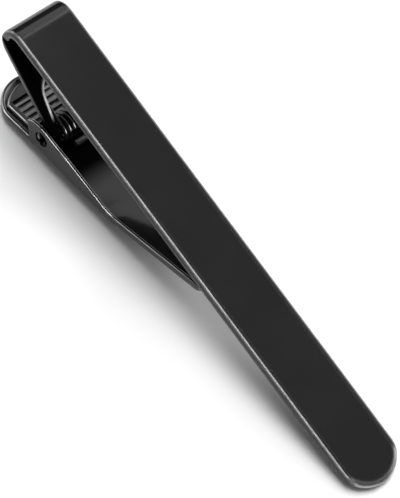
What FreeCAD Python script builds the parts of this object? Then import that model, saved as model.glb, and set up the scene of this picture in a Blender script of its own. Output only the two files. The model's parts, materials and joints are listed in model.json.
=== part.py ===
# Pinch tie clip: a steel strip folded back on itself, with a sprung clasp arm hinged on its back leg.
# The pieces are drawn with the bar's front face level at Z = 0, the fold at X = 0 and the tip along +X.
# A last placement lays the clip on a table, its weight on the arm's thumb tail and the bar's round tip.
import FreeCAD, Part
import math
import os

Vec = FreeCAD.Vector
ORIGIN = Vec(0, 0, 0)
AXIS_Y = Vec(0, 1, 0)
AXIS_Z = Vec(0, 0, 1)

# Strip: bar, fold and back leg are one bent piece, and the leg's two prongs curl round the pin.
strip_length = 58.0
strip_width = 7.0
strip_thickness = 0.95
strip_edge_round = 0.33
tip_rise = 3.0
fold_radius = 1.95
leg_slope_deg = 20.0
leg_run = 9.72
curl_deg = 262.0
slot_end_setback = 5.42
slot_end_width = 3.9
slot_mouth_width = 5.2
slot_corner_radius = 2.06

# Hinge pin: a rivet through the strip's two curls, its wider dished ends set into the arm's ears.
pin_diameter = 1.2
pin_end_diameter = 1.7
pin_end_recess = 0.14
pin_end_round = 0.06
pin_dish_diameter = 1.16
pin_dish_depth = 0.12
hinge_clearance = 0.03
rivet_clearance = 0.015
ear_side_gap = 0.1

# Clasp arm: one pressing with a floor, a rim all round, two ears, a thumb tail and a toothed jaw.
arm_sheet = 0.45
arm_corner_round = 0.52
curl_floor_gap = 0.12
tail_slope_deg = 20.0
floor_slope_deg = 13.0
tail_reach = 7.55
tail_rise = 3.5
rim_height = 0.9
ridge_radius = 8.0
bend_reach = 10.3
bend_radius = 6.0
taper_start = 1.4
taper_round = 30.0
jaw_reach = 22.45
jaw_land = 0.8
jaw_width = 6.7
jaw_corner_radius = 1.1
jaw_rim_height = 1.02
jaw_closed_gap = 0.12
ear_top_reach = 0.6
ear_top_height = 1.3
ear_front_reach = 2.6
ear_front_height = 0.08
ear_foot_reach = 1.15
ear_shoulder_reach = 1.95
ear_shoulder_height = 0.74
wall_crest_reach = 3.4
wall_crest_height = 1.46
wall_bend_height = 1.32
ear_foot_round = 0.35
ear_corner_round = 0.4
ear_shoulder_round = 1.2
ear_top_round = 2.5
wall_crest_round = 20.0
wall_bend_round = 5.0
jaw_land_round = 1.2
tooth_count = 5
tooth_depth = 0.5

# Thumb pad: a ribbed step raised inside the tail's rim.
pad_height = 0.68
pad_width = 6.5
pad_end_reach = 6.65
pad_end_radius = 4.4
pad_front_reach = 1.8
pad_edge_round = 0.22
rib_groove_count = 5
rib_pitch = 0.8
rib_groove_width = 0.5
rib_groove_depth = 0.34
rib_length = 5.2
rib_first_reach = 2.1

# Stop tab: a tongue raised from the arm's floor beside the coil.
tab_reach = 1.95
tab_thickness = 0.6
tab_width = 1.85
tab_side_shift = 0.18
tab_height = 0.75
tab_round = 0.25

# Torsion spring: one wire, wound round the pin between the curls, with a leg under each lever.
wire_diameter = 0.42
coil_diameter = 2.6
coil_length = 3.9
coil_whole_turns = 4
coil_ease_turns = 0.25
arm_leg_length = 4.0
arm_leg_slope_deg = 4.0
bar_leg_length = 5.2
bar_leg_slope_deg = 5.0

# Shapes that follow the sizes: an end's corner arcs, and the most of a wall that a rounded edge takes.
end_corner_share = 0.83
edge_round_share = 0.42
rim_round_share = 0.58
lip_round_share = 0.36

# How far a cutting tool runs past what it cuts, how many points of a turn the spring's gap is measured on,
# and how many rounds of levelling lay the clip down.
overrun = 2.0
gap_points_per_turn = 90
rest_rounds = 6

# Sizes worked out from the ones above.
strip_half = strip_width / 2
ear_inside = strip_half + ear_side_gap
arm_half = ear_inside + arm_sheet
pin_radius = pin_diameter / 2
curl_inside = pin_radius + hinge_clearance
curl_outside = curl_inside + strip_thickness
wire_radius = wire_diameter / 2
coil_radius = coil_diameter / 2
leg_slope = math.radians(leg_slope_deg)
tail_slope = math.radians(tail_slope_deg)
floor_slope = math.radians(floor_slope_deg)


def at(x, z, y=0.0):
    """A point of the side view, with its place across the clip last."""
    return Vec(x, y, z)


def line_edge(start, end):
    return Part.LineSegment(start, end).toShape()


def arc_edge(start, middle, end):
    return Part.Arc(start, middle, end).toShape()


def rounded_path(points, radii):
    """Edges along a polyline, with an arc of the given radius at each inner corner and 0 for a sharp one."""
    edges = []
    start = points[0]
    for before, corner, after, radius in zip(points, points[1:], points[2:], radii):
        if radius == 0:
            edges.append(line_edge(start, corner))
            start = corner
            continue
        to_before = (before - corner).normalize()
        to_after = (after - corner).normalize()
        half_angle = to_before.getAngle(to_after) / 2
        inward = (to_before + to_after).normalize()
        centre = corner + inward * (radius / math.sin(half_angle))
        trim = radius / math.tan(half_angle)
        arc_start = corner + to_before * trim
        arc_end = corner + to_after * trim
        edges.append(line_edge(start, arc_start))
        edges.append(arc_edge(arc_start, centre - inward * radius, arc_end))
        start = arc_end
    edges.append(line_edge(start, points[-1]))
    return edges


def round_end(apex_x, half_width, rise, way, z):
    """Three tangent arcs across an end, from -Y to +Y. way is 1 at a +X end and -1 at a -X end."""
    corner = rise * end_corner_share
    offset = half_width - corner
    crown = (rise ** 2 + offset ** 2 - corner ** 2) / (2 * (rise - corner))
    crown_centre = Vec(apex_x - way * crown, 0, z)
    arcs = []
    joins = []
    for side in (-1, 1):
        corner_centre = Vec(apex_x - way * rise, side * offset, z)
        outward = (corner_centre - crown_centre).normalize()
        sideways = Vec(0, side, 0)
        join = crown_centre + outward * crown
        middle = corner_centre + (outward + sideways).normalize() * corner
        arcs.append(arc_edge(corner_centre + sideways * corner, middle, join))
        joins.append(join)
    arcs.append(arc_edge(joins[0], Vec(apex_x, 0, z), joins[1]))
    return arcs


def prism(edges, direction):
    """The solid that a closed run of edges sweeps along a direction."""
    wire = Part.Wire(Part.__sortEdges__(edges))
    return Part.Face(wire).extrude(direction)


def side_prism(edges, half_width):
    """The solid of a side view, equally wide on both sides of the middle."""
    moved = [edge.translated(Vec(0, -half_width, 0)) for edge in edges]
    return prism(moved, Vec(0, 2 * half_width, 0))


def offset_path(points, distance):
    """A side-view polyline that runs towards +X, moved up by a distance square to each stretch."""
    ways = [(end - start).normalize() for start, end in zip(points, points[1:])]
    ups = [Vec(-way.z, 0, way.x) for way in ways]
    moved = [points[0] + ups[0] * distance]
    for corner, before, after in zip(points[1:], ups, ups[1:]):
        bisector = before + after
        moved.append(corner + bisector * (2 * distance / bisector.dot(bisector)))
    moved.append(points[-1] + ups[-1] * distance)
    return moved


def edges_where(shape, wanted):
    """The edges of a shape that pass a test of the edge and its middle point."""
    chosen = []
    for edge in shape.Edges:
        low, high = edge.ParameterRange
        if wanted(edge, edge.valueAt((low + high) / 2)):
            chosen.append(edge)
    return chosen


# Places on the strip: the fold, its back leg and the pivot that the leg's prongs curl round.
fold_centre = at(fold_radius, -fold_radius)
leg_way = at(math.cos(leg_slope), -math.sin(leg_slope))
leg_up = at(math.sin(leg_slope), math.cos(leg_slope))
leg_inner_start = fold_centre - leg_up * (fold_radius - strip_thickness)
leg_outer_start = fold_centre - leg_up * fold_radius
pivot = leg_inner_start + leg_way * leg_run - leg_up * curl_outside

# The lower face of the arm's floor, seen from the side: tail end, ridge under the pin, bend, jaw end.
# The jaw rises from the bend so that its rim lands flat under the bar's back.
ridge_lean = (tail_slope + floor_slope) / 2
ridge_drop = (curl_outside + curl_floor_gap + arm_sheet) / math.cos((tail_slope - floor_slope) / 2)
ridge = pivot + at(math.sin(ridge_lean), -math.cos(ridge_lean)) * ridge_drop
tail_end_x = pivot.x - tail_reach
tail_out_x = tail_end_x - overrun
tail_out = at(tail_out_x, ridge.z - (ridge.x - tail_out_x) * math.tan(tail_slope))
bend_x = pivot.x + bend_reach
bend = at(bend_x, ridge.z + (bend_x - ridge.x) * math.tan(floor_slope))
jaw_end_x = pivot.x + jaw_reach
jaw_out_x = jaw_end_x + overrun
landing = at(jaw_end_x - jaw_land, -strip_thickness - jaw_closed_gap)
to_landing = landing - bend
jaw_slope = math.atan2(to_landing.z, to_landing.x) - math.asin(jaw_rim_height / to_landing.Length)
jaw_out = at(jaw_out_x, bend.z + (jaw_out_x - bend_x) * math.tan(jaw_slope))
floor_points = [tail_out, ridge, bend, jaw_out]


def above_tail(x, height):
    """The point a given height over the tail's lower face, at a place along X."""
    return at(x, ridge.z - (ridge.x - x) * math.tan(tail_slope) + height / math.cos(tail_slope))


def on_circle(radius, angle):
    """A point round the pivot, its angle counted from +X towards +Z."""
    return pivot + at(math.cos(angle), math.sin(angle)) * radius


def make_strip():
    """Bar, fold, back leg and the two curls round the pin."""
    straight_x = strip_length - tip_rise
    plate_edges = round_end(strip_length, strip_half, tip_rise, 1, -strip_thickness)
    fold_side = [at(fold_radius, -strip_thickness, side * strip_half) for side in (-1, 1)]
    for corner in fold_side:
        plate_edges.append(line_edge(corner, Vec(straight_x, corner.y, corner.z)))
    plate_edges.append(line_edge(*fold_side))
    plate = prism(plate_edges, Vec(0, 0, strip_thickness))

    inner_fold = fold_radius - strip_thickness
    fold_middle_angle = math.pi - leg_slope / 2
    fold_middle = at(math.cos(fold_middle_angle), math.sin(fold_middle_angle))
    curl_from = math.pi / 2 - leg_slope
    curl_to = curl_from - math.radians(curl_deg)
    curl_middle = (curl_from + curl_to) / 2
    inner_curl = [on_circle(curl_inside, angle) for angle in (curl_from, curl_middle, curl_to)]
    outer_curl = [on_circle(curl_outside, angle) for angle in (curl_from, curl_middle, curl_to)]
    bent_edges = [
        line_edge(at(fold_radius, 0), at(fold_radius, -strip_thickness)),
        arc_edge(at(fold_radius, 0), fold_centre + fold_middle * fold_radius, leg_outer_start),
        line_edge(leg_outer_start, inner_curl[0]),
        arc_edge(*inner_curl),
        line_edge(inner_curl[2], outer_curl[2]),
        arc_edge(*outer_curl),
        line_edge(outer_curl[0], leg_inner_start),
        arc_edge(leg_inner_start, fold_centre + fold_middle * inner_fold, at(fold_radius, -strip_thickness)),
    ]
    strip = plate.fuse(side_prism(bent_edges, strip_half)).removeSplitter()

    def outer_edge(edge, middle):
        box = edge.BoundBox
        on_side = box.YLength < hinge_clearance and abs(abs(middle.y) - strip_half) < hinge_clearance
        from_pivot = math.hypot(middle.x - pivot.x, middle.z - pivot.z)
        curl_end = curl_inside < from_pivot < curl_outside
        round_tip = middle.x > straight_x and box.ZLength < hinge_clearance
        return round_tip or (on_side and not curl_end)

    edge_round = min(strip_edge_round, strip_thickness * edge_round_share)
    strip = strip.makeFillet(edge_round, edges_where(strip, outer_edge))
    return strip.cut(make_slot())


def make_slot():
    """What the leg's slot takes away: round at its closed end, wider towards the pin."""
    low = pivot.z - curl_outside - overrun
    out_x = pivot.x + curl_outside + overrun
    growth = (slot_mouth_width - slot_end_width) / (pivot.x - slot_end_setback)
    out_width = slot_end_width + growth * (out_x - slot_end_setback)
    points = [
        at(out_x, low, -out_width / 2),
        at(slot_end_setback, low, -slot_end_width / 2),
        at(slot_end_setback, low, slot_end_width / 2),
        at(out_x, low, out_width / 2),
    ]
    edges = rounded_path(points, [slot_corner_radius, slot_corner_radius])
    edges.append(line_edge(points[-1], points[0]))
    top = (leg_inner_start.z - strip_thickness) / 2
    return prism(edges, Vec(0, 0, top - low))


def arm_plan(inset):
    """The arm's outline seen from above, drawn in by an inset, as a tall solid."""
    low = tail_out.z - overrun
    half = arm_half - inset
    tip_half = jaw_width / 2 - inset
    kink_x = pivot.x + taper_start
    tip_x = jaw_end_x - inset
    rise = tail_rise - inset
    side_x = tail_end_x + tail_rise
    points = [
        at(side_x, low, -half),
        at(kink_x, low, -half),
        at(tip_x, low, -tip_half),
        at(tip_x, low, tip_half),
        at(kink_x, low, half),
        at(side_x, low, half),
    ]
    corner = jaw_corner_radius - inset
    edges = rounded_path(points, [taper_round, corner, corner, taper_round])
    edges += round_end(tail_end_x + inset, half, rise, -1, low)
    return prism(edges, Vec(0, 0, overrun - low))


def above_floor(distance, ridge_round, bend_round):
    """Edges of the side view along the floor, a distance above its lower face."""
    return rounded_path(offset_path(floor_points, distance), [ridge_round, bend_round])


def closed_side(lower_edges, upper_edges):
    """A solid whose side view lies between two runs of edges, both towards +X."""
    edges = list(lower_edges) + list(upper_edges)
    for end in (0, -1):
        edges.append(line_edge(lower_edges[end].Vertexes[end].Point, upper_edges[end].Vertexes[end].Point))
    return side_prism(edges, arm_half + overrun)


def round_floor_edges(shape, lower_edges, radius):
    """Rounds the edge between a tray's floor and its walls, all the way round."""
    lower_wire = Part.Wire(lower_edges)
    low_x = shape.BoundBox.XMin
    high_x = shape.BoundBox.XMax

    def floor_edge(edge, middle):
        point = Part.Vertex(at(middle.x, middle.z))
        on_floor = point.distToShape(lower_wire)[0] < hinge_clearance
        crosses = edge.BoundBox.XLength < hinge_clearance
        at_end = min(middle.x - low_x, high_x - middle.x) < radius
        return on_floor and (at_end or not crosses)

    return shape.makeFillet(radius, edges_where(shape, floor_edge))


def make_tray():
    """The arm's bent sheet: floor, rim, ears and jaw walls."""
    foot_x = pivot.x - ear_foot_reach
    top_points = [
        above_tail(tail_out_x, rim_height),
        above_tail(foot_x, rim_height),
        pivot + at(-ear_front_reach, ear_front_height),
        pivot + at(-ear_shoulder_reach, ear_shoulder_height),
        pivot + at(-ear_top_reach, ear_top_height),
        pivot + at(wall_crest_reach, wall_crest_height),
        pivot + at(bend_reach, wall_bend_height),
        landing,
        at(jaw_out_x, landing.z),
    ]
    top_rounds = [
        ear_foot_round,
        ear_corner_round,
        ear_shoulder_round,
        ear_top_round,
        wall_crest_round,
        wall_bend_round,
        jaw_land_round,
    ]
    top = rounded_path(top_points, top_rounds)
    lower = above_floor(0, ridge_radius, bend_radius)
    outer = arm_plan(0).common(closed_side(lower, top))
    outer_round = min(arm_corner_round, rim_height * rim_round_share)
    outer = round_floor_edges(outer, lower, outer_round)

    inner_lower = above_floor(arm_sheet, ridge_radius + arm_sheet, bend_radius - arm_sheet)
    open_top = line_edge(at(tail_out_x, overrun), at(jaw_out_x, overrun))
    inner = arm_plan(arm_sheet).common(closed_side(inner_lower, [open_top]))
    inner = round_floor_edges(inner, inner_lower, outer_round - arm_sheet)
    tray = outer.cut(inner)
    top_wire = Part.Wire(top)

    def lip_edge(edge, middle):
        on_top = Part.Vertex(at(middle.x, middle.z)).distToShape(top_wire)[0] < hinge_clearance
        across = edge.BoundBox.XLength < hinge_clearance and edge.BoundBox.YLength < arm_sheet * 2
        return on_top and not across

    return tray.makeFillet(arm_sheet * lip_round_share, edges_where(tray, lip_edge))


def make_pad():
    """The thumb pad, with grooves across it that leave raised ribs."""
    front_x = pivot.x - pad_front_reach
    sunk = arm_sheet / 2
    top = arm_sheet + pad_height
    foot_edge = line_edge(above_tail(tail_out_x, sunk), above_tail(front_x, sunk))
    crown_edge = line_edge(above_tail(tail_out_x, top), above_tail(front_x, top))
    low = tail_out.z - overrun
    tall = overrun - low
    end_middle = at(pivot.x - pad_end_reach + pad_end_radius, low)
    end_round = Part.makeCylinder(pad_end_radius, tall, end_middle, AXIS_Z)
    strip = Part.makeBox(2 * pad_end_radius, pad_width, tall, at(tail_out_x, low, -pad_width / 2))
    pad = closed_side([foot_edge], [crown_edge]).common(strip).common(end_round)

    def top_edge(edge, middle):
        return abs(middle.z - above_tail(middle.x, top).z) < hinge_clearance

    pad = pad.makeFillet(pad_edge_round, edges_where(pad, top_edge))
    along = at(math.cos(tail_slope), math.sin(tail_slope))
    up = at(-math.sin(tail_slope), math.cos(tail_slope))
    first = above_tail(pivot.x - rib_first_reach, top)
    for index in range(rib_groove_count):
        middle = first - along * (index * rib_pitch) - up * rib_groove_depth
        corners = [
            middle - along * (rib_groove_width / 2),
            middle + along * (rib_groove_width / 2),
            middle + along * (rib_groove_width / 2) + up * overrun,
            middle - along * (rib_groove_width / 2) + up * overrun,
        ]
        edges = [line_edge(start, end) for start, end in zip(corners, corners[1:] + corners[:1])]
        pad = pad.cut(side_prism(edges, rib_length / 2))
    return pad


def make_tab():
    """The stop tab, a rounded tongue that stands on the floor just past the coil."""
    along = at(math.cos(floor_slope), math.sin(floor_slope))
    up = at(-math.sin(floor_slope), math.cos(floor_slope))
    foot_x = pivot.x + tab_reach
    foot = at(foot_x, ridge.z + (foot_x - ridge.x) * math.tan(floor_slope)) + up * (arm_sheet / 2)
    height = arm_sheet / 2 + tab_height
    corners = [foot, foot + along * tab_thickness, foot + along * tab_thickness + up * height, foot + up * height]
    edges = [line_edge(start, end) for start, end in zip(corners, corners[1:] + corners[:1])]
    tab = side_prism(edges, tab_width / 2)
    tab.translate(AXIS_Y * tab_side_shift)

    def free_edge(edge, middle):
        return (middle - foot).dot(up) > hinge_clearance

    return tab.makeFillet(min(tab_round, tab_thickness * edge_round_share), edges_where(tab, free_edge))


def make_teeth_cut():
    """The notches between the jaw's teeth, cut through its end wall."""
    inside = jaw_width - 2 * jaw_corner_radius
    pitch = inside / tooth_count
    start_x = jaw_end_x - arm_sheet - jaw_corner_radius
    notches = []
    for index in range(tooth_count):
        y = (index - (tooth_count - 1) / 2) * pitch
        corners = [
            at(start_x, landing.z - tooth_depth, y),
            at(start_x, landing.z + tooth_depth, y - pitch),
            at(start_x, landing.z + tooth_depth, y + pitch),
        ]
        edges = [line_edge(start, end) for start, end in zip(corners, corners[1:] + corners[:1])]
        notches.append(prism(edges, Vec(jaw_out_x - start_x, 0, 0)))
    return notches


def make_arm():
    """The clasp arm: bent sheet, thumb pad, stop tab, pin holes and teeth."""
    arm = make_tray().fuse([make_pad(), make_tab()])
    hole_radius = pin_end_diameter / 2 + rivet_clearance
    reach = arm_half + overrun
    hole = Part.makeCylinder(hole_radius, 2 * reach, pivot - AXIS_Y * reach, AXIS_Y)
    return arm.cut([hole] + make_teeth_cut()).removeSplitter()


def make_pin():
    """The hinge rivet: a shank through both curls, and a wider dished end sunk in each ear."""
    end_y = arm_half - pin_end_recess
    pin = Part.makeCylinder(pin_radius, 2 * ear_inside, pivot - AXIS_Y * ear_inside, AXIS_Y)
    for side in (-1, 1):
        way = AXIS_Y * side
        end = Part.makeCylinder(pin_end_diameter / 2, end_y - ear_inside, pivot + way * ear_inside, way)
        dish_foot = pivot + way * (end_y - pin_dish_depth)
        end = end.cut(Part.makeCylinder(pin_dish_diameter / 2, overrun, dish_foot, way))

        def rim_edge(edge, middle):
            return abs(abs(middle.y) - end_y) < hinge_clearance and edge.Closed

        end = end.makeFillet(pin_end_round, edges_where(end, rim_edge))
        pin = pin.fuse(end)
    return pin.removeSplitter()


def coil_place(share_turned, sweep, start_angle):
    """Point and heading on the coil after a share of its whole sweep, with its pitch eased at both ends."""
    angle = start_angle + share_turned * sweep
    turns = sweep / (2 * math.pi)
    ease = coil_ease_turns
    turned = share_turned * turns
    full_pitch = coil_length / (turns - ease)
    if turned < ease:
        advance = full_pitch * turned ** 2 / (2 * ease)
        pitch = full_pitch * turned / ease
    elif turned > turns - ease:
        left = turns - turned
        advance = coil_length - full_pitch * left ** 2 / (2 * ease)
        pitch = full_pitch * left / ease
    else:
        advance = full_pitch * (turned - ease / 2)
        pitch = full_pitch
    point = on_circle(coil_radius, angle) + AXIS_Y * (coil_length / 2 - advance)
    circumference = 2 * math.pi * coil_radius
    heading = at(-math.sin(angle), math.cos(angle)) * circumference - AXIS_Y * pitch
    return point, heading.normalize()


def half_arc(start, heading, end):
    """An arc from a point along a heading to another point."""
    chord = end - start
    along = chord * (1 / chord.Length)
    aside = heading - along * heading.dot(along)
    angle = heading.getAngle(along)
    rise = chord.Length / 2 * math.tan(angle / 2)
    return arc_edge(start, start + chord * (1 / 2) + aside.normalize() * rise, end)


def biarc(start, start_way, end, end_way):
    """Two arcs that leave one point and reach another along given headings, tangent where they meet."""
    chord = end - start
    both = start_way + end_way
    spread = 2 * (1 - start_way.dot(end_way))
    lean = chord.dot(both)
    reach = (math.sqrt(lean ** 2 + spread * chord.dot(chord)) - lean) / spread
    meet = (start + end + (start_way - end_way) * reach) * (1 / 2)
    back = half_arc(end, end_way * -1, meet)
    return [half_arc(start, start_way, meet), back]


def make_spring():
    """The torsion spring: a leg on the thumb pad, the coil, and a leg under the strip's back leg."""
    arm_leg_slope = math.radians(arm_leg_slope_deg)
    bar_leg_slope = math.radians(bar_leg_slope_deg)
    start_angle = arm_leg_slope - math.pi / 2
    end_angle = math.pi / 2 - bar_leg_slope
    sweep = end_angle - start_angle + 2 * math.pi * coil_whole_turns
    turns = sweep / (2 * math.pi)
    steps = math.ceil(4 * turns)
    places = [coil_place(step / steps, sweep, start_angle) for step in range(steps + 1)]
    first_point, first_way = places[0]
    last_point, last_way = places[-1]
    leg_end = first_point - first_way * arm_leg_length
    edges = [line_edge(leg_end, first_point)]
    for (start, start_way), (end, end_way) in zip(places, places[1:]):
        edges += biarc(start, start_way, end, end_way)
    edges.append(line_edge(last_point, last_point + last_way * bar_leg_length))
    path = Part.Wire(Part.__sortEdges__(edges))
    ring = Part.Wire(Part.makeCircle(wire_radius, leg_end, first_way))
    shell = Part.BRepOffsetAPI.MakePipeShell(path)
    shell.add(ring)
    shell.build()
    shell.makeSolid()
    spring = shell.shape()
    print("spring volume over section times length",
          round(spring.Volume / (math.pi * wire_radius ** 2 * path.Length), 4))
    print_coil_gap(sweep, start_angle, turns)
    return spring


def print_coil_gap(sweep, start_angle, turns):
    """Prints the least room between one turn of the wire and the next, measured on points."""
    count = round(turns * gap_points_per_turn)
    points = [coil_place(step / count, sweep, start_angle)[0] for step in range(count + 1)]
    least = coil_length
    for index, point in enumerate(points):
        for other in points[index + gap_points_per_turn // 2:]:
            least = min(least, point.distanceToPoint(other) - wire_diameter)
    print("spring least gap to itself, mm", round(least, 3))


def lowest(shape, tilt):
    turned = shape.copy()
    turned.rotate(ORIGIN, AXIS_Y, tilt)
    return turned.optimalBoundingBox(False, False).ZMin


def rest_placement(strip, arm, pieces):
    """How the clip lies on a table: tilted until the tail and the tip both touch it, centred over the origin."""
    span = strip_length - tail_end_x
    tilt = math.degrees(math.atan2(-tail_out.z, span))
    for _ in range(rest_rounds):
        uneven = lowest(arm, tilt) - lowest(strip, tilt)
        tilt -= math.degrees(uneven / span)
    turned = Part.makeCompound(pieces)
    turned.rotate(ORIGIN, AXIS_Y, tilt)
    box = turned.optimalBoundingBox(False, False)
    shift = Vec(-(box.XMin + box.XMax) / 2, -(box.YMin + box.YMax) / 2, -box.ZMin)
    print("tilt, degrees", round(tilt, 4), "shift", [round(value, 4) for value in shift])
    return FreeCAD.Placement(shift, FreeCAD.Rotation(AXIS_Y, tilt))


def main():
    strip = make_strip()
    arm = make_arm()
    pieces = {
        "folded_bar": strip,
        "clasp_arm": arm,
        "hinge_pin": make_pin(),
        "torsion_spring": make_spring(),
    }
    placement = rest_placement(strip, arm, list(pieces.values()))
    os.makedirs("parts", exist_ok=True)
    for name, shape in pieces.items():
        placed = shape.copy()
        placed.Placement = placement
        placed.exportStep(os.path.join("parts", name + ".step"))
        print(name, "valid", placed.isValid(), "solids", len(placed.Solids), "volume", round(placed.Volume, 3))
    print("pivot", [round(value, 4) for value in placement.multVec(pivot)])
    face = at(strip_length / 2, 0)
    print("bar face", [round(value, 4) for value in placement.multVec(face)])
    print("bar face way", [round(value, 5) for value in placement.Rotation.multVec(AXIS_Z)])


main()
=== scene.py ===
"""Dresses the pinch tie clip: black plated finishes, a close-wound spring, a peened rivet and a stage."""
import json
import math
from typing import NamedTuple

import bpy
from bpy.props import FloatProperty, FloatVectorProperty, IntProperty, PointerProperty
from mathutils import Matrix, Vector


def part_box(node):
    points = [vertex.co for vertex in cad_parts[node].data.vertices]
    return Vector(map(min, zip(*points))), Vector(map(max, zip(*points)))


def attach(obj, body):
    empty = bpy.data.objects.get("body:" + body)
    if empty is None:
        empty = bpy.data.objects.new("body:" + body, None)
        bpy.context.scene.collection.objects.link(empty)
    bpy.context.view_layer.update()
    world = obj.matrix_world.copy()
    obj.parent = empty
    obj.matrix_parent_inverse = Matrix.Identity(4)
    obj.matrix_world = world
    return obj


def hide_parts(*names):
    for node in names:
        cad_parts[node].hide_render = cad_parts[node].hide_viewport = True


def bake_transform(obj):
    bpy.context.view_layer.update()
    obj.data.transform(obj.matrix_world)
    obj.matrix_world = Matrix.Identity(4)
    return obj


bl_info = {
    "name": "Tie clip looks",
    "version": (1, 0, 0),
    "blender": (4, 5, 0),
    "location": "3D View > Sidebar > Tie clip",
    "description": "Finishes, spring, rivet and stage for a pinch tie clip",
    "category": "Object",
}

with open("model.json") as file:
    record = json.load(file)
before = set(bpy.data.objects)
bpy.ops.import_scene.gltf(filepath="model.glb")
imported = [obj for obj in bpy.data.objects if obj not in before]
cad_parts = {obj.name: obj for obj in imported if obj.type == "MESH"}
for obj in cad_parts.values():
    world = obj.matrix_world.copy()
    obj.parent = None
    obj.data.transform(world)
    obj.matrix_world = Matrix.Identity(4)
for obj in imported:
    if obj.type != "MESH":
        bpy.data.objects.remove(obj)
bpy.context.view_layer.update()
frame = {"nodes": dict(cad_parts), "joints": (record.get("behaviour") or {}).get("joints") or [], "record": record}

MM = 0.001
FULL_TURN = 2 * math.pi
QUARTER_TURN = math.pi / 2
AXIS_Y = Vector((0, 1, 0))

# Places that the frame gives: the hinge's axis, the bar's front face, and the sides of the arm and the pin.
PIVOT = Vector(frame["joints"][0]["pos_m"])
bar_front = next(mount for mount in frame["record"]["mounts"] if mount["name"] == "bar_front")
BAR_WAY = Vector(bar_front["axis"])
BAR_LEVEL = BAR_WAY.dot(Vector(bar_front["pos_m"]))
BAR_TILT = math.atan2(BAR_WAY.x, BAR_WAY.z)
ARM_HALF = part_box("clasp_arm")[1].y
PIN_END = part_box("hinge_pin")[1].y

# Where the masks lie: starts and ends run along X from the hinge's axis, halves run across from the
# middle, and drops run down from the axis. The slot's top is its height over the table.
MASK_FADE = 0.1 * MM
RIBS_START = 1.9 * MM
RIBS_END = 5.4 * MM
RIBS_HALF = 2.6 * MM
TAB_START = 1.5 * MM
TAB_END = 2.3 * MM
TAB_HALF = 1.2 * MM
TAB_FOOT_DROP = 1.65 * MM
# The dark film inside the arm round the hinge is painted shade: it blacks out the floor and walls where shade
# falls under the bar and round the coil.
PAINTED_SHADE_FADE = 0.2 * MM
PAINTED_SHADE_INSET = 0.6 * MM
PAINTED_SHADE_HALF = ARM_HALF - PAINTED_SHADE_INSET
PAINTED_SHADE_DROP = 1.2 * MM
PAINTED_SHADE_CORE_SHARE = 0.55
TROUGH_FADE_SHARES = (0.9, 1.1)
HINGE_NEAR = 1.85 * MM
HINGE_FAR = 2.7 * MM
SLOT_HALF = 2.9 * MM
SLOT_TOP = 8.5 * MM

# The strip's back leg: its depth under the bar's front, its slope against the bar, and the heights over
# the hinge's axis, square to the leg, between which the rounding of its inner face ends.
LEG_DEPTH = 2.2 * MM
LEG_SLOPE = math.radians(20)
LEG_WAY = Vector((math.sin(BAR_TILT + LEG_SLOPE), 0, math.cos(BAR_TILT + LEG_SLOPE)))
LEG_FACE_FROM = 1.25 * MM
LEG_FACE_FULL = 1.448 * MM

# Limits of the smooth steps in masks: how far a surface faces one way or leans from its flat, the share
# of the mouth's depth that stays black, and the noise that makes the wire's patches.
ROUNDING_BEGINS = (0.03, 0.2)
ROUNDING_ENDS = (0.7, 0.95)
ROLL_SEEN = (0.002, 0.03)
RIB_TOPS = (0.85, 0.95)
FLOOR_FACING = 0.8
# The rivet's side and mouth limits set where a painted highlight, a crescent on one side of its mouth, is laid.
HIGHLIGHT_SIDE_FACING = (0.3, 0.6)
HIGHLIGHT_MOUTH_SHARES = (0.5, 0.4)
WIRE_PATCHES = (0.2, 0.7)

# The plating's unevenness: tone as shares of its colour, gloss as a spread of roughness.
TONE_SHARES = (0.8, 1.25)
CLOUD_GLOSS = 0.08
SPECK_GLOSS = 0.06
PATCH_LEAST = 0.6
PATCH_SPREAD = 0.8
NOISE_MIDDLE = 0.5
SOFT_DETAIL = 2.0
FINE_DETAIL = 3.0
ROLL_SAMPLES = 8
WIRE_ROLL_SHARE = 0.1

# The rivet's rings, as shares of its bore and of its rim's rounding.
BORE_MIDDLE_SHARE = 0.1
BORE_FLOOR_SHARE = 0.9
RIM_FIRST_SHARE = 0.2
RIM_THIRD_SHARE = 0.3
RIM_MOST_SHARE = 0.6

# How near to the end of the coil a point of its last ring lies, as shares of the wire's radius.
RING_REACH_SHARE = 1.05
RING_DEPTH_SHARE = 0.08

# Sockets of a colour Mix node, whose names are used more than once in it.
MIX_SHARE = 0
MIX_FIRST = 6
MIX_SECOND = 7
MIX_RESULT = 2

SENSOR_WIDTH = 36
PICTURE_HEIGHT = 498


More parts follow.
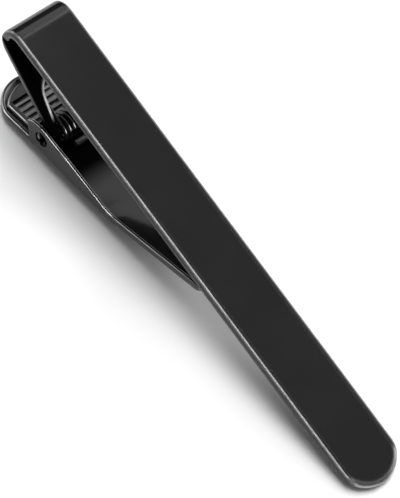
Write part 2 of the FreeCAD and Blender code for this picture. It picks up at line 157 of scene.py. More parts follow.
class FinishSettings(bpy.types.PropertyGroup):
    """Colours, gloss and wear of the clip's finishes, with their painted shade and painted highlights."""

    bar_colour: FloatVectorProperty(
        name="Bar colour", description="Base colour of the bar's satin black plating",
        default=(0.0085, 0.0085, 0.0088), subtype="COLOR", min=0, max=1)
    bar_roughness: FloatProperty(
        name="Bar roughness", description="Middle of the bar's roughness",
        default=0.13, subtype="FACTOR", min=0, max=1)
    bar_wear: FloatProperty(
        name="Bar wear", description="How far the bar's edges are rubbed to the steel",
        default=0.35, subtype="FACTOR", min=0, max=1)
    leg_wear: FloatProperty(
        name="Leg wear", description="How far the back leg's edges are rubbed to the steel",
        default=0.1, subtype="FACTOR", min=0, max=1)
    # Painted highlight: the slot's edge is rubbed fully to steel over this wide strip, standing for the crescent
    # highlight on its rounded edge.
    slot_painted_highlight: FloatProperty(
        name="Slot wear", description="How far the edge of the leg's slot is rubbed to the steel",
        default=1.0, subtype="FACTOR", min=0, max=1)
    slot_highlight_reach: FloatProperty(
        name="Slot edge reach", description="How far from the slot's edge the rubbing reaches",
        default=0.75 * MM, unit="LENGTH", precision=5)
    bar_edge_roll: FloatProperty(
        name="Bar edge roll", description="How far the tumbled edges of the bar roll over",
        default=0.55 * MM, unit="LENGTH", precision=5)
    arm_colour: FloatVectorProperty(
        name="Arm colour", description="Base colour of the clasp arm's glossy black plating",
        default=(0.0015, 0.0015, 0.0016), subtype="COLOR", min=0, max=1)
    arm_roughness: FloatProperty(
        name="Arm roughness", description="Middle of the arm's roughness",
        default=0.12, subtype="FACTOR", min=0, max=1)
    arm_wear: FloatProperty(
        name="Arm wear", description="How far the arm's edges are rubbed to the steel",
        default=0.6, subtype="FACTOR", min=0, max=1)
    rib_wear: FloatProperty(
        name="Rib wear", description="How far the thumb pad's ribs are rubbed to the steel",
        default=0.3, subtype="FACTOR", min=0, max=1)
    # Painted sheen: the stop tab's steel stands for the light its face catches.
    tab_painted_sheen: FloatProperty(
        name="Tab wear", description="How far the stop tab is rubbed to the steel",
        default=0.2, subtype="FACTOR", min=0, max=1)
    arm_edge_roll: FloatProperty(
        name="Arm edge roll", description="How far the pressed edges of the arm roll over",
        default=0.2 * MM, unit="LENGTH", precision=5)
    wire_wear: FloatProperty(
        name="Wire wear", description="How far the spring's black has worn off its wire",
        default=0.05, subtype="FACTOR", min=0, max=1)
    wire_patch_size: FloatProperty(
        name="Wire patches", description="Size of the worn patches along the wire",
        default=1.2 * MM, unit="LENGTH", precision=5)
    # Painted highlight: the steel crescent on one side of the rivet's mouth stands for the light that side
    # catches.
    rivet_wear: FloatProperty(
        name="Rivet wear", description="How far the rivet's mouths are rubbed to the steel",
        default=0.5, subtype="FACTOR", min=0, max=1)
    # Also the colour of the painted highlights on the rivet, the slot's edge and the stop tab.
    steel_colour: FloatVectorProperty(
        name="Steel colour", description="The steel that shows where the plating is rubbed through",
        default=(0.55, 0.55, 0.555), subtype="COLOR", min=0, max=1)
    reflectance: FloatProperty(
        name="Reflectance", description="Specular level of the black plating",
        default=0.45, subtype="FACTOR", min=0, max=1)
    rivet_reflectance: FloatProperty(
        name="Rivet reflectance", description="Specular level of the rivet's dull black",
        default=0.12, subtype="FACTOR", min=0, max=1)
    cloud_size: FloatProperty(
        name="Clouds", description="Size of the broad changes in the plating's tone and gloss",
        default=6 * MM, unit="LENGTH", precision=5)
    speck_size: FloatProperty(
        name="Specks", description="Size of the fine changes in the plating's gloss and level",
        default=0.22 * MM, unit="LENGTH", precision=5)
    patch_size: FloatProperty(
        name="Patches", description="Size of the more and less rubbed patches in the wear",
        default=0.9 * MM, unit="LENGTH", precision=5)
    peel_strength: FloatProperty(
        name="Peel", description="Strength of the plating's faint orange peel",
        default=0.06, subtype="FACTOR", min=0, max=1)
    peel_depth: FloatProperty(
        name="Peel depth", description="Depth of the plating's faint orange peel",
        default=0.004 * MM, unit="LENGTH", precision=6)
    trough_radius: FloatProperty(
        name="Trough radius", description="Hollow of the arm's floor from side to side",
        default=29 * MM, unit="LENGTH", precision=5)
    trough_reach: FloatProperty(
        name="Trough reach", description="How far in front of the hinge that hollow runs",
        default=10.4 * MM, unit="LENGTH", precision=5)
    # Painted shade: how far from the hinge the dark film inside the arm reaches.
    painted_shade_reach: FloatProperty(
        name="Grease reach", description="How far from the hinge the arm's inside is dulled by grease",
        default=7.6 * MM, unit="LENGTH", precision=5)
    # The film below is painted shade, a dark coat laid inside the arm round the hinge and on the back leg's inner
    # face.
    painted_shade_colour: FloatVectorProperty(
        name="Film colour", description="Base colour of the grease and of the unbuffed black",
        default=(0.001, 0.001, 0.001), subtype="COLOR", min=0, max=1)
    painted_shade_roughness: FloatProperty(
        name="Film roughness", description="Roughness of the grease and of the unbuffed black",
        default=0.7, subtype="FACTOR", min=0, max=1)
    painted_shade_reflectance: FloatProperty(
        name="Film reflectance", description="Specular level of the grease and of the unbuffed black",
        default=0.02, subtype="FACTOR", min=0, max=1)


class SpringSizes(bpy.types.PropertyGroup):
    """The torsion spring's wire, coil and legs."""

    wire_diameter: FloatProperty(
        name="Wire", description="Diameter of the spring's wire",
        default=0.42 * MM, unit="LENGTH", precision=5)
    coil_diameter: FloatProperty(
        name="Coil", description="Diameter of the coil at the wire's middle",
        default=2.6 * MM, unit="LENGTH", precision=5)
    coil_length: FloatProperty(
        name="Coil length", description="From the first turn's middle to the last one's",
        default=3.9 * MM, unit="LENGTH", precision=5)
    whole_turns: IntProperty(
        name="Whole turns", description="Turns of the coil, besides the part turn between its legs",
        default=6, min=1)
    arm_leg_length: FloatProperty(
        name="Arm leg", description="Length of the leg that presses on the thumb pad",
        default=4.0 * MM, unit="LENGTH", precision=5)
    arm_leg_slope: FloatProperty(
        name="Arm leg slope", description="Slope of that leg against the bar",
        default=math.radians(4), subtype="ANGLE")
    bar_leg_length: FloatProperty(
        name="Bar leg", description="Length of the leg under the strip's back leg",
        default=5.2 * MM, unit="LENGTH", precision=5)
    bar_leg_slope: FloatProperty(
        name="Bar leg slope", description="Slope of that leg against the bar",
        default=math.radians(5), subtype="ANGLE")
    leg_end_share: FloatProperty(
        name="Leg end", description="Width of a leg's cut end, as a share of the wire's",
        default=0.7, subtype="FACTOR", min=0, max=1)
    wire_sides: IntProperty(
        name="Wire sides", description="Points round the wire",
        default=24, min=8)
    steps_per_turn: IntProperty(
        name="Steps per turn", description="Rings of points in one turn of the coil",
        default=60, min=12)
    smooth_angle: FloatProperty(
        name="Smooth angle", description="Corners flatter than this are shaded smooth",
        default=math.radians(50), subtype="ANGLE")


class RivetSizes(bpy.types.PropertyGroup):
    """The hinge rivet's shank and its hollow, flared ends."""

    shank_diameter: FloatProperty(
        name="Shank", description="Diameter of the rivet through the curls",
        default=1.2 * MM, unit="LENGTH", precision=5)
    end_diameter: FloatProperty(
        name="End", description="Diameter of the flared end in each ear",
        default=1.7 * MM, unit="LENGTH", precision=5)
    end_round: FloatProperty(
        name="End round", description="Rounding of the flared end's rim",
        default=0.06 * MM, unit="LENGTH", precision=5)
    mouth_diameter: FloatProperty(
        name="Mouth", description="Diameter of the sunk mouth",
        default=1.45 * MM, unit="LENGTH", precision=5)
    mouth_depth: FloatProperty(
        name="Mouth depth", description="Depth of the sunk mouth",
        default=0.3 * MM, unit="LENGTH", precision=5)
    bore_diameter: FloatProperty(
        name="Bore", description="Diameter of the bore behind the mouth",
        default=0.9 * MM, unit="LENGTH", precision=5)
    bore_depth: FloatProperty(
        name="Bore depth", description="Depth of the bore from the rivet's end",
        default=1.2 * MM, unit="LENGTH", precision=5)
    ear_sheet: FloatProperty(
        name="Ear sheet", description="Thickness of the ear that holds the end",
        default=0.45 * MM, unit="LENGTH", precision=5)
    sides: IntProperty(
        name="Sides", description="Points round the rivet",
        default=64, min=12)
    smooth_angle: FloatProperty(
        name="Smooth angle", description="Corners flatter than this are shaded smooth",
        default=math.radians(40), subtype="ANGLE")


class StageSettings(bpy.types.PropertyGroup):
    """Floor, lights and camera."""

    floor_size: FloatProperty(
        name="Floor", description="Side of the square floor",
        default=4.0, unit="LENGTH")
    floor_colour: FloatVectorProperty(
        name="Floor colour", description="Base colour of the floor",
        default=(0.92, 0.92, 0.92), subtype="COLOR", min=0, max=1)
    floor_roughness: FloatProperty(
        name="Floor roughness", description="Roughness of the floor's paper",
        default=0.9, subtype="FACTOR", min=0, max=1)
    floor_reflectance: FloatProperty(
        name="Floor reflectance", description="Specular level of the floor's paper",
        default=0.1, subtype="FACTOR", min=0, max=1)
    sky_strength: FloatProperty(
        name="Sky", description="Brightness of the even light from all round",
        default=0.22)
    key_softbox: FloatProperty(
        name="Key softbox", description="Brightness of the overhead softbox that lights the floor",
        default=5.2)
    back_fill: FloatProperty(
        name="Back fill", description="Brightness of the softbox behind that lights the shadow",
        default=4.0)
    coil_card: FloatProperty(
        name="Coil card", description="Brightness of the low card that the coil alone mirrors",
        default=30.0)
    lip_card: FloatProperty(
        name="Lip card", description="Brightness of the card that the lip of the arm's jaw mirrors",
        default=4.0)
    back_card: FloatProperty(
        name="Back card", description="Brightness of the card behind that the far edge mirrors",
        default=1.1)
    top_card: FloatProperty(
        name="Top card", description="Brightness of the long card overhead that the edges mirror",
        default=8.0)
    front_card: FloatProperty(
        name="Front card", description="Brightness of the small low card in front of the tip",
        default=2.0)
    right_card: FloatProperty(
        name="Right card", description="Brightness of the long low card behind on the tip's side",
        default=0.5)
    left_card: FloatProperty(
        name="Left card", description="Brightness of the low card past the tail",
        default=2.5)
    bar_card: FloatProperty(
        name="Bar card", description="Brightness of the dim card that the bar's front mirrors",
        default=0.33)
    jaw_card: FloatProperty(
        name="Jaw card", description="Brightness of the card that the arm's floor mirrors",
        default=1.32)
    fold_card: FloatProperty(
        name="Fold card", description="Brightness of the narrow card that the fold mirrors",
        default=1.7)
    camera_distance: FloatProperty(
        name="Camera distance", description="From the aim point to the camera",
        default=272.05 * MM, unit="LENGTH")
    camera_azimuth: FloatProperty(
        name="Camera azimuth", description="Turn of the view from straight along +Y",
        default=math.radians(27.426), subtype="ANGLE")
    camera_elevation: FloatProperty(
        name="Camera elevation", description="Height of the view over the horizon",
        default=math.radians(56.882), subtype="ANGLE")
    camera_roll: FloatProperty(
        name="Camera roll", description="Turn of the camera about its own axis",
        default=math.radians(23.808), subtype="ANGLE")
    camera_aim: FloatVectorProperty(
        name="Camera aim", description="The point at the middle of the picture",
        default=(-0.00003, -0.00069, 0.006), subtype="TRANSLATION", precision=5)
    focal_pixels: FloatProperty(
        name="Focal length in pixels", description="Focal length for a picture 400 wide and 498 high",
        default=2762.8)


class Card(NamedTuple):
    """A lamp with an even face. Its name is also the name of the setting that gives its brightness."""

    name: str
    way: tuple
    distance: float
    width: float
    height: float
    mirrored: bool = True
    only_piece: str = ""


# A mirrored card shows in the finishes and lights nothing, and a softbox does the reverse.
CARDS = (
    Card("key_softbox", (-0.25, 0.2, 0.95), distance=0.6, width=0.5, height=0.5, mirrored=False),
    Card("back_fill", (0.05, 0.87, 0.48), distance=0.7, width=0.8, height=0.3, mirrored=False),
    Card("coil_card", (0.79, 0.5, 0.35), distance=0.6, width=0.5, height=0.36, only_piece="wound_spring"),
    Card("lip_card", (-0.7, 0.05, 0.71), distance=0.6, width=0.35, height=0.25, only_piece="clasp_arm"),
    Card("back_card", (0.05, 0.85, 0.53), distance=0.7, width=0.8, height=0.42),
    Card("top_card", (0.0, -0.09, 0.99), distance=0.6, width=0.55, height=0.26),
    Card("front_card", (0.8, -0.56, 0.22), distance=0.6, width=0.2, height=0.18),
    Card("right_card", (0.59, 0.76, 0.27), distance=0.7, width=0.7, height=0.3),
    Card("left_card", (-0.94, -0.17, 0.3), distance=0.6, width=0.5, height=0.2),
    Card("bar_card", (0.1, 0.485, 0.868), distance=0.8, width=0.65, height=0.37),
    Card("jaw_card", (-0.476, 0.485, 0.733), distance=0.6, width=0.485, height=0.26),
    Card("fold_card", (-0.152, 0.485, 0.861), distance=0.6, width=0.085, height=0.25),
)


# Shader sums and nodes

class Value:
    """A shader socket that takes part in Python sums."""

    def __init__(self, finish, socket):
        self.finish = finish
        self.socket = socket

    def sum(self, operation, *values):
        return self.finish.node("ShaderNodeMath", {"operation": operation}, dict(enumerate(values)))

    def __add__(self, other):
        return self.sum("ADD", self, other)

    def __radd__(self, other):
        return self.sum("ADD", other, self)

    def __sub__(self, other):
        return self.sum("SUBTRACT", self, other)

    def __rsub__(self, other):
        return self.sum("SUBTRACT", other, self)

    def __mul__(self, other):
        return self.sum("MULTIPLY", self, other)

    def __rmul__(self, other):
        return self.sum("MULTIPLY", other, self)

    def __abs__(self):
        return self.sum("ABSOLUTE", self)

    def __gt__(self, other):
        return self.sum("GREATER_THAN", self, other)


def rgba(colour):
    """A colour with full opacity, as a colour socket takes it."""
    return (*colour, 1.0)


class Finish:
    """A material under construction, with its nodes and its main shader."""

    def __init__(self, name):
        self.material = bpy.data.materials.new(name)
        self.material.use_nodes = True
        self.tree = self.material.node_tree
        self.shader = self.tree.nodes["Principled BSDF"]

    def put(self, socket, value):
        """Links a socket to a value, or sets it to a plain one."""
        if isinstance(value, Value):
            self.tree.links.new(value.socket, socket)
        else:
            socket.default_value = value

    def node(self, kind, settings, inputs, output=0):
        """Adds a node, sets it up, feeds its sockets by name or number and returns one output."""
        made = self.tree.nodes.new(kind)
        for key, setting in settings.items():
            setattr(made, key, setting)
        for key, value in inputs.items():
            self.put(made.inputs[key], value)
        return Value(self, made.outputs[output])

    def shade(self, inputs):
        """Feeds the main shader's sockets by name."""
        for key, value in inputs.items():
            self.put(self.shader.inputs[key], value)

    def cover(self, share, inputs):
        """Lays a second shader over the main one where a share is 1."""
        film = self.node("ShaderNodeBsdfPrincipled", {}, inputs)
        under = Value(self, self.shader.outputs[0])
        both = self.node("ShaderNodeMixShader", {}, {0: share, 1: under, 2: film})
        self.put(self.tree.nodes["Material Output"].inputs["Surface"], both)

    def here(self):
        """The point's place."""
        return self.node("ShaderNodeTexCoord", {}, {}, output="Object")

    def flat_normal(self):
        """The mesh's own normal, with nothing rolled or smoothed."""
        return self.node("ShaderNodeNewGeometry", {}, {}, output="True Normal")

    def part(self, vector, axis):
        """A vector's part along one axis."""
        return self.node("ShaderNodeSeparateXYZ", {}, {0: vector}, output=axis)

    def vectors(self, operation, *values, output="Vector"):
        """A sum of vectors."""
        return self.node("ShaderNodeVectorMath", {"operation": operation}, dict(enumerate(values)), output)

    def place(self, axis):
        """The point's place along one axis."""
        return self.part(self.here(), axis)

    def along(self, way):
        """How far along a way the point lies."""
        return self.vectors("DOT_PRODUCT", self.here(), way, output="Value")

    def facing(self, axis):
        """How far the surface faces along one axis."""
        return self.part(self.flat_normal(), axis)

    def noise(self, size, detail=SOFT_DETAIL):
        """Soft noise whose spots are about a size across."""
        inputs = {"Vector": self.here(), "Scale": 1 / size, "Detail": detail}
        return self.node("ShaderNodeTexNoise", {}, inputs)

    def rise(self, value, low, high):
        """0 up to a low value and 1 from a high one, with a smooth step between them."""
        smooth = {"interpolation_type": "SMOOTHSTEP"}
        return self.node("ShaderNodeMapRange", smooth, {"Value": value, "From Min": low, "From Max": high})

    def past(self, value, limit, fade=MASK_FADE):
        """1 from a limit on, and 0 short of it."""
        return self.rise(value, limit - fade, limit)

    def up_to(self, value, limit, fade=MASK_FADE):
        """1 up to a limit, and 0 past it."""
        return 1 - self.rise(value, limit, limit + fade)

    def colour_mix(self, share, first, second):
        """One colour, turning into another as a share rises."""
        inputs = {MIX_SHARE: share, MIX_FIRST: first, MIX_SECOND: second}
        return self.node("ShaderNodeMix", {"data_type": "RGBA"}, inputs, output=MIX_RESULT)

    def rolled_normal(self, reach):
        """The surface's normal with every edge rolled over a given reach."""
        return self.node("ShaderNodeBevel", {"samples": ROLL_SAMPLES}, {"Radius": reach})

    def long_edges(self):
        """A mask of the rounded long edges, between the flats that face up and those that face sideways."""
        sideways = abs(self.facing("Y"))
        return self.rise(sideways, *ROUNDING_BEGINS) * (1 - self.rise(sideways, *ROUNDING_ENDS))

    def sharp_edges(self, reach):
        """A mask of the strips beside sharp edges, a given reach wide."""
        kept = self.vectors("DOT_PRODUCT", self.rolled_normal(reach), self.flat_normal(), output="Value")
        return self.rise(1 - kept, *ROLL_SEEN)


def black_plating(looks, name, colour, roughness, reflectance, roll, wear_and_highlight_mask, trough=None):
    """Black plating, a little uneven in tone, gloss and level, with steel laid where the given mask asks: real
    wear on edges, ribs and wire, and painted highlights on the rivet, the slot's edge and the stop tab.

    The function trough, where there is one, gives how far the normal leans across.
    """
    finish = Finish(name)
    cloud = finish.noise(looks.cloud_size)
    speck = finish.noise(looks.speck_size, FINE_DETAIL)
    patches = finish.noise(looks.patch_size, FINE_DETAIL)
    wear_and_highlight = wear_and_highlight_mask(finish) * (patches * PATCH_SPREAD + PATCH_LEAST)
    dark, light = (rgba([share * part for part in colour]) for share in TONE_SHARES)
    tone = finish.colour_mix(cloud, dark, light)
    normal = finish.rolled_normal(roll)
    if trough:
        lean = finish.node("ShaderNodeCombineXYZ", {}, {"Y": trough(finish)})
        normal = finish.vectors("NORMALIZE", finish.vectors("ADD", normal, lean))
    peel = {"Strength": looks.peel_strength, "Distance": looks.peel_depth, "Height": speck, "Normal": normal}
    finish.shade({
        "Base Color": finish.colour_mix(wear_and_highlight, tone, rgba(looks.steel_colour)),
        "Metallic": wear_and_highlight,
        "Roughness": roughness + (cloud - NOISE_MIDDLE) * CLOUD_GLOSS + (speck - NOISE_MIDDLE) * SPECK_GLOSS,
        "Specular IOR Level": reflectance,
        "Normal": finish.node("ShaderNodeBump", {}, peel),
    })
    return finish


def painted_shade_film(looks):
    """Shader inputs of the dark film of painted shade, laid inside the arm round the hinge and on the back leg's
    inner face.
    """
    return {
        "Base Color": rgba(looks.painted_shade_colour),
        "Roughness": looks.painted_shade_roughness,
        "Specular IOR Level": looks.painted_shade_reflectance,
    }


# Masks of the clip's places

def ahead(finish):
    """How far towards the jaw the point lies from the hinge's axis."""
    return finish.place("X") - PIVOT.x


def above(finish):
    """How far over the hinge's axis the point lies."""
    return finish.place("Z") - PIVOT.z


def across(finish):
    """How far to either side of the middle the point lies."""
    return abs(finish.place("Y"))


def round_hinge(finish):
    """What lies close round the hinge's axis."""
    forward = ahead(finish)
    upward = above(finish)
    return 1 - finish.rise(forward * forward + upward * upward, HINGE_NEAR ** 2, HINGE_FAR ** 2)


def on_leg(finish):
    """The strip's back leg, with the fold's lower part."""
    return finish.past(BAR_LEVEL - finish.along(BAR_WAY), LEG_DEPTH)


def slot_edge(finish, reach):
    """A strip along the edge of the leg's slot."""
    in_slot = finish.up_to(across(finish), SLOT_HALF) * finish.up_to(finish.place("Z"), SLOT_TOP)
    return finish.sharp_edges(reach) * in_slot


def rib_tops(finish):
    """The tops of the thumb pad's ribs."""
    behind = PIVOT.x - finish.place("X")
    on_ribs = finish.past(behind, RIBS_START) * finish.up_to(behind, RIBS_END)
    return on_ribs * finish.up_to(across(finish), RIBS_HALF) * finish.rise(finish.facing("Z"), *RIB_TOPS)


def stop_tab(finish):
    """The tab that stands on the arm's floor."""
    forward = ahead(finish)
    on_tab = finish.past(forward, TAB_START) * finish.up_to(forward, TAB_END)
    over_floor = finish.rise(above(finish) + TAB_FOOT_DROP, 0, MASK_FADE)
    return on_tab * finish.up_to(across(finish), TAB_HALF) * over_floor


# Modelling helpers

def assign(piece, material):
    """Gives a piece one material, whatever slots it has."""
    if not piece.material_slots:
        piece.data.materials.append(material)
    for slot in piece.material_slots:
        slot.material = material


def start_fresh():
    """Leaves edit mode and deselects everything."""
    if bpy.context.mode != "OBJECT":
        bpy.ops.object.mode_set(mode="OBJECT")
    bpy.ops.object.select_all(action="DESELECT")


def select_points(piece, wanted):
    """Selects the points of a mesh in edit mode that pass a test of their place."""
    bpy.ops.mesh.select_all(action="DESELECT")
    bpy.ops.object.mode_set(mode="OBJECT")
    for point in piece.data.vertices:
        point.select = wanted(point.co)
    bpy.ops.object.mode_set(mode="EDIT")


def turn_faces_outward():
    """Makes the normals of the mesh in edit mode point out of it."""
    bpy.ops.mesh.select_all(action="SELECT")
    bpy.ops.mesh.normals_make_consistent(inside=False)


def on_circle(radius, angle):
    """A point of the side view round the hinge's axis, its angle counted from +X towards +Z."""
    return Vector((math.cos(angle), 0, math.sin(angle))) * radius


class TIECLIP_OT_finish_bar(bpy.types.Operator):
    """Gives the folded bar its satin black plating"""

    bl_idname = "tie_clip.finish_bar"
    bl_label = "Finish the folded bar"

    def execute(self, context):
        looks = context.scene.tie_clip_finish

        def wear_and_highlight_mask(finish):
            leg = on_leg(finish)
            edge_wear = (1 - leg) * looks.bar_wear + leg * looks.leg_wear
            # The slot's strip of steel is a painted highlight; the steel on the other edges is wear.
            slot = slot_edge(finish, looks.slot_highlight_reach)
            return finish.long_edges() * edge_wear + slot * looks.slot_painted_highlight

        # Painted shade: the leg's inner face and its top rounding, and the strip round the hinge, get a dark film
        # where the bar overhead shades them.
        def painted_shade_on_leg(finish):
            over_pin = finish.along(LEG_WAY) - LEG_WAY.dot(PIVOT)
            inner_face = finish.rise(over_pin, LEG_FACE_FROM, LEG_FACE_FULL) * on_leg(finish)
            shade_kept = inner_face * (1 - slot_edge(finish, looks.slot_highlight_reach))
            return 1 - (1 - shade_kept) * (1 - round_hinge(finish))

        plating = black_plating(
            looks, "satin_black_bar", looks.bar_colour, looks.bar_roughness, looks.reflectance,
            looks.bar_edge_roll, wear_and_highlight_mask)
        plating.cover(painted_shade_on_leg(plating), painted_shade_film(looks))
        assign(frame["nodes"]["folded_bar"], plating.material)
        return {"FINISHED"}


class TIECLIP_OT_finish_arm(bpy.types.Operator):
    """Gives the clasp arm its glossy black plating"""

    bl_idname = "tie_clip.finish_arm"
    bl_label = "Finish the clasp arm"

    def execute(self, context):
        looks = context.scene.tie_clip_finish

        def wear_and_highlight_mask(finish):
            edges = finish.long_edges() * looks.arm_wear
            # Edges and ribs are rubbed to steel by wear; the stop tab's steel is a painted sheen.
            return edges + rib_tops(finish) * looks.rib_wear + stop_tab(finish) * looks.tab_painted_sheen

        def hollow_floor(finish):
            fade_start, fade_end = (share * looks.trough_reach for share in TROUGH_FADE_SHARES)
            near = 1 - finish.rise(ahead(finish), fade_start, fade_end)
            on_floor = finish.facing("Z") > FLOOR_FACING
            return finish.place("Y") * near * on_floor * (-1 / looks.trough_radius)

        # Painted shade: a dark film over the arm's inside round the hinge, where shade falls under the bar and
        # round the coil.
        def painted_shade_inside_arm(finish):
            forward = ahead(finish)
            near = 1 - finish.rise(forward, PAINTED_SHADE_CORE_SHARE * looks.painted_shade_reach, looks.painted_shade_reach)
            in_front = finish.rise(forward, 0, PAINTED_SHADE_FADE)
            inside = finish.up_to(across(finish), PAINTED_SHADE_HALF, PAINTED_SHADE_FADE)
            low = finish.up_to(above(finish), -PAINTED_SHADE_DROP, PAINTED_SHADE_FADE)
            return near * in_front * inside * low * (1 - stop_tab(finish))

        plating = black_plating(
            looks, "gloss_black_arm", looks.arm_colour, looks.arm_roughness, looks.reflectance,
            looks.arm_edge_roll, wear_and_highlight_mask, hollow_floor)
        plating.cover(painted_shade_inside_arm(plating), painted_shade_film(looks))
        assign(frame["nodes"]["clasp_arm"], plating.material)
        return {"FINISHED"}


class TIECLIP_OT_peen_rivet(bpy.types.Operator):
    """Builds the hinge rivet ring by ring, hollow and flared at each end"""

    bl_idname = "tie_clip.peen_rivet"
    bl_label = "Peen the hinge rivet"

    def rings(self, sizes):
        """Radius and place across of each ring, from the bottom of one bore to that of the other."""
        shank = sizes.shank_diameter / 2
        end = sizes.end_diameter / 2
        mouth = sizes.mouth_diameter / 2
        bore = sizes.bore_diameter / 2
        rim = sizes.end_round
        first = rim * RIM_FIRST_SHARE
        third = rim * RIM_THIRD_SHARE
        most = rim * RIM_MOST_SHARE
        inside = ARM_HALF - sizes.ear_sheet
        half = [
            (bore * BORE_MIDDLE_SHARE, PIN_END - sizes.bore_depth),
            (bore * BORE_FLOOR_SHARE, PIN_END - sizes.bore_depth),
            (bore, PIN_END - sizes.bore_depth + rim),
            (bore, PIN_END - sizes.mouth_depth - rim),
            (bore + third, PIN_END - sizes.mouth_depth),
            (mouth, PIN_END - most),
            (mouth + first, PIN_END - first),
            (mouth + most, PIN_END),
            (end - rim, PIN_END),
            (end - third, PIN_END - third),
            (end, PIN_END - rim),
            (end, inside),
            (shank, inside),
        ]
        return [(radius, -y) for radius, y in half] + half[::-1]

    def execute(self, context):
        sizes = context.scene.tie_clip_rivet
        looks = context.scene.tie_clip_finish
        rings = self.rings(sizes)
        first_radius, first_y = rings[0]
        start_fresh()
        bpy.ops.mesh.primitive_circle_add(
            vertices=sizes.sides, radius=first_radius, fill_type="NGON", enter_editmode=False,
            location=PIVOT + AXIS_Y * first_y, rotation=(QUARTER_TURN, 0, 0))
        rivet = context.object
        rivet.name = "hinge_rivet"
        bpy.ops.object.transform_apply(location=True, rotation=True, scale=True)
        bpy.ops.object.mode_set(mode="EDIT")
        bpy.ops.mesh.select_all(action="SELECT")
        for (radius, y), (next_radius, next_y) in zip(rings, rings[1:]):
            bpy.ops.mesh.extrude_region_move(TRANSFORM_OT_translate={"value": AXIS_Y * (next_y - y)})
            grow = next_radius / radius
            bpy.ops.transform.resize(value=(grow, 1, grow), center_override=PIVOT + AXIS_Y * next_y)
        turn_faces_outward()
        bpy.ops.object.mode_set(mode="OBJECT")
        bpy.ops.object.shade_smooth_by_angle(angle=sizes.smooth_angle)

        # Painted highlight: steel is laid only on the mouth's rim on the side that faces +X, a crescent standing
        # for the light falling there.
        def wear_and_highlight_mask(finish):
            deep, shallow = (PIN_END - share * sizes.mouth_depth for share in HIGHLIGHT_MOUTH_SHARES)
            outer = finish.rise(across(finish), deep, shallow)
            highlight_side = finish.rise(finish.facing("X"), *HIGHLIGHT_SIDE_FACING)
            return outer * highlight_side * finish.long_edges() * looks.rivet_wear

        plating = black_plating(
            looks, "dull_black_rivet", looks.arm_colour, looks.arm_roughness, looks.rivet_reflectance,
            sizes.end_round, wear_and_highlight_mask)
        assign(rivet, plating.material)
        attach(rivet, "arm")
        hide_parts("hinge_pin")
        return {"FINISHED"}


class TIECLIP_OT_wind_spring(bpy.types.Operator):
    """Winds the torsion spring close round the rivet and runs its two legs out to the levers"""

    bl_idname = "tie_clip.wind_spring"
    bl_label = "Wind the torsion spring"

    def run_out(self, spring, sizes, place, way, length):
        """Draws the wire out from one end of the coil into a straight leg with a cut end."""
        wire = sizes.wire_diameter / 2

        def at_coil_end(point):
            reach = point - place
            near = reach.length < wire * RING_REACH_SHARE
            return near and abs(reach.dot(way)) < wire * RING_DEPTH_SHARE

        select_points(spring, at_coil_end)
        bpy.ops.mesh.extrude_region_move(TRANSFORM_OT_translate={"value": way * (length - wire / 2)})
        bpy.ops.mesh.extrude_region_move(TRANSFORM_OT_translate={"value": way * (wire / 2)})
        bpy.ops.transform.resize(value=[sizes.leg_end_share] * 3, center_override=place + way * length)
        bpy.ops.mesh.edge_face_add()

    def execute(self, context):
        sizes = context.scene.tie_clip_spring
        looks = context.scene.tie_clip_finish
        wire = sizes.wire_diameter / 2
        coil = sizes.coil_diameter / 2
        start_angle = sizes.arm_leg_slope - QUARTER_TURN - BAR_TILT
        end_angle = QUARTER_TURN - sizes.bar_leg_slope - BAR_TILT
        sweep = end_angle - start_angle + FULL_TURN * sizes.whole_turns
        start = on_circle(coil, start_angle) + AXIS_Y * (sizes.coil_length / 2)
        end = on_circle(coil, end_angle) - AXIS_Y * (sizes.coil_length / 2)
        start_way = on_circle(1, start_angle + QUARTER_TURN)
        end_way = on_circle(1, end_angle + QUARTER_TURN)

        start_fresh()
        facing = start_way.to_track_quat("Z", "Y").to_euler()
        bpy.ops.mesh.primitive_circle_add(
            vertices=sizes.wire_sides, radius=wire, location=start, rotation=facing)
        spring = context.object
        spring.name = "wound_spring"
        bpy.ops.object.transform_apply(location=True, rotation=True, scale=True)
        winding = spring.modifiers.new("winding", "SCREW")
        winding.axis = "Y"
        winding.angle = -sweep
        winding.screw_offset = -sizes.coil_length
        winding.steps = round(sizes.steps_per_turn * sweep / FULL_TURN)
        winding.render_steps = winding.steps
        winding.use_merge_vertices = False
        bpy.ops.object.modifier_apply(modifier=winding.name)
        bpy.ops.object.mode_set(mode="EDIT")
        self.run_out(spring, sizes, start, -start_way, sizes.arm_leg_length)
        self.run_out(spring, sizes, end, end_way, sizes.bar_leg_length)
        turn_faces_outward()
        bpy.ops.transform.translate(value=PIVOT)
        bpy.ops.object.mode_set(mode="OBJECT")
        bpy.ops.object.shade_smooth_by_angle(angle=sizes.smooth_angle)

        def wear_and_highlight_mask(finish):
            return finish.rise(finish.noise(looks.wire_patch_size), *WIRE_PATCHES) * looks.wire_wear

        plating = black_plating(
            looks, "blackened_wire", looks.arm_colour, looks.arm_roughness, looks.reflectance,
            wire * WIRE_ROLL_SHARE, wear_and_highlight_mask)
        assign(spring, plating.material)
        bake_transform(spring)
        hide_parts("torsion_spring")
        return {"FINISHED"}


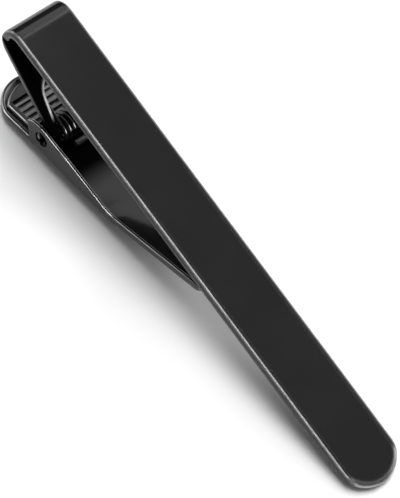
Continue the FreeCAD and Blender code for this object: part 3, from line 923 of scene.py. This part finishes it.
class TIECLIP_OT_set_stage(bpy.types.Operator):
    """Lays the pale floor, hangs the softboxes and sets up the camera"""

    bl_idname = "tie_clip.set_stage"
    bl_label = "Set the stage"

    def lay_floor(self, context, stage):
        """A wide sheet of pale paper under the clip."""
        start_fresh()
        bpy.ops.mesh.primitive_plane_add(size=stage.floor_size)
        floor = context.object
        floor.name = "floor"
        paper = Finish("pale_paper")
        paper.shade({
            "Base Color": rgba(stage.floor_colour),
            "Roughness": stage.floor_roughness,
            "Specular IOR Level": stage.floor_reflectance,
        })
        assign(floor, paper.material)

    def light_sky(self, context, stage):
        """An even white sky that lights the paper and that the finishes don't mirror."""
        world = bpy.data.worlds.new("even_sky")
        world.use_nodes = True
        sky = world.node_tree.nodes["Background"]
        sky.inputs["Color"].default_value = (1, 1, 1, 1)
        sky.inputs["Strength"].default_value = stage.sky_strength
        context.scene.world = world
        world.cycles_visibility.glossy = False
        context.scene.view_settings.view_transform = "Standard"

    def hang(self, card, radiance):
        """An area light that faces the clip, screened to one piece where its card names one."""
        place = Vector(card.way).normalized() * card.distance
        bpy.ops.object.light_add(type="AREA", location=place)
        lamp = bpy.context.object
        lamp.name = card.name
        lamp.rotation_euler = (-place).to_track_quat("-Z", "Y").to_euler()
        lamp.data.shape = "RECTANGLE"
        lamp.data.size = card.width
        lamp.data.size_y = card.height
        lamp.data.energy = radiance * math.pi * card.width * card.height
        lamp.visible_camera = False
        lamp.visible_glossy = card.mirrored
        lamp.visible_diffuse = not card.mirrored
        if card.only_piece:
            lit = bpy.data.collections.new("lit_by_" + card.name)
            lit.objects.link(bpy.data.objects[card.only_piece])
            lamp.light_linking.receiver_collection = lit

    def aim_camera(self, context, stage):
        """The camera that was fitted to the bar's outline in the photo."""
        level = math.cos(stage.camera_elevation)
        back = Vector((
            math.sin(stage.camera_azimuth) * level,
            -math.cos(stage.camera_azimuth) * level,
            math.sin(stage.camera_elevation),
        ))
        bpy.ops.object.camera_add(location=Vector(stage.camera_aim) + back * stage.camera_distance)
        camera = context.object
        camera.name = "photo_camera"
        straight = (-back).to_track_quat("-Z", "Y").to_matrix()
        camera.rotation_euler = (straight @ Matrix.Rotation(stage.camera_roll, 3, "Z")).to_euler()
        camera.data.sensor_width = SENSOR_WIDTH
        camera.data.lens = stage.focal_pixels * SENSOR_WIDTH / PICTURE_HEIGHT
        context.scene.camera = camera

    def execute(self, context):
        stage = context.scene.tie_clip_stage
        self.lay_floor(context, stage)
        self.light_sky(context, stage)
        for card in CARDS:
            self.hang(card, getattr(stage, card.name))
        self.aim_camera(context, stage)
        return {"FINISHED"}


class TIECLIP_PT_looks(bpy.types.Panel):
    """Lists the clip's settings and steps"""

    bl_idname = "TIECLIP_PT_looks"
    bl_label = "Tie clip"
    bl_space_type = "VIEW_3D"
    bl_region_type = "UI"
    bl_category = "Tie clip"

    def draw(self, context):
        for name, group in SETTINGS.items():
            settings = getattr(context.scene, name)
            box = self.layout.box()
            for key in group.__annotations__:
                box.prop(settings, key)
        for step in STEPS:
            self.layout.operator(step.bl_idname)


SETTINGS = {
    "tie_clip_finish": FinishSettings,
    "tie_clip_rivet": RivetSizes,
    "tie_clip_spring": SpringSizes,
    "tie_clip_stage": StageSettings,
}
STEPS = (
    TIECLIP_OT_finish_bar,
    TIECLIP_OT_finish_arm,
    TIECLIP_OT_peen_rivet,
    TIECLIP_OT_wind_spring,
    TIECLIP_OT_set_stage,
)


def register():
    for name, group in SETTINGS.items():
        bpy.utils.register_class(group)
        setattr(bpy.types.Scene, name, PointerProperty(type=group))
    for made in (*STEPS, TIECLIP_PT_looks):
        bpy.utils.register_class(made)


def unregister():
    for made in (TIECLIP_PT_looks, *reversed(STEPS)):
        bpy.utils.unregister_class(made)
    for name, group in SETTINGS.items():
        delattr(bpy.types.Scene, name)
        bpy.utils.unregister_class(group)


def main():
    register()
    bpy.ops.tie_clip.finish_bar()
    bpy.ops.tie_clip.finish_arm()
    bpy.ops.tie_clip.peen_rivet()
    bpy.ops.tie_clip.wind_spring()
    bpy.ops.tie_clip.set_stage()


if __name__ == "__main__":
    main()
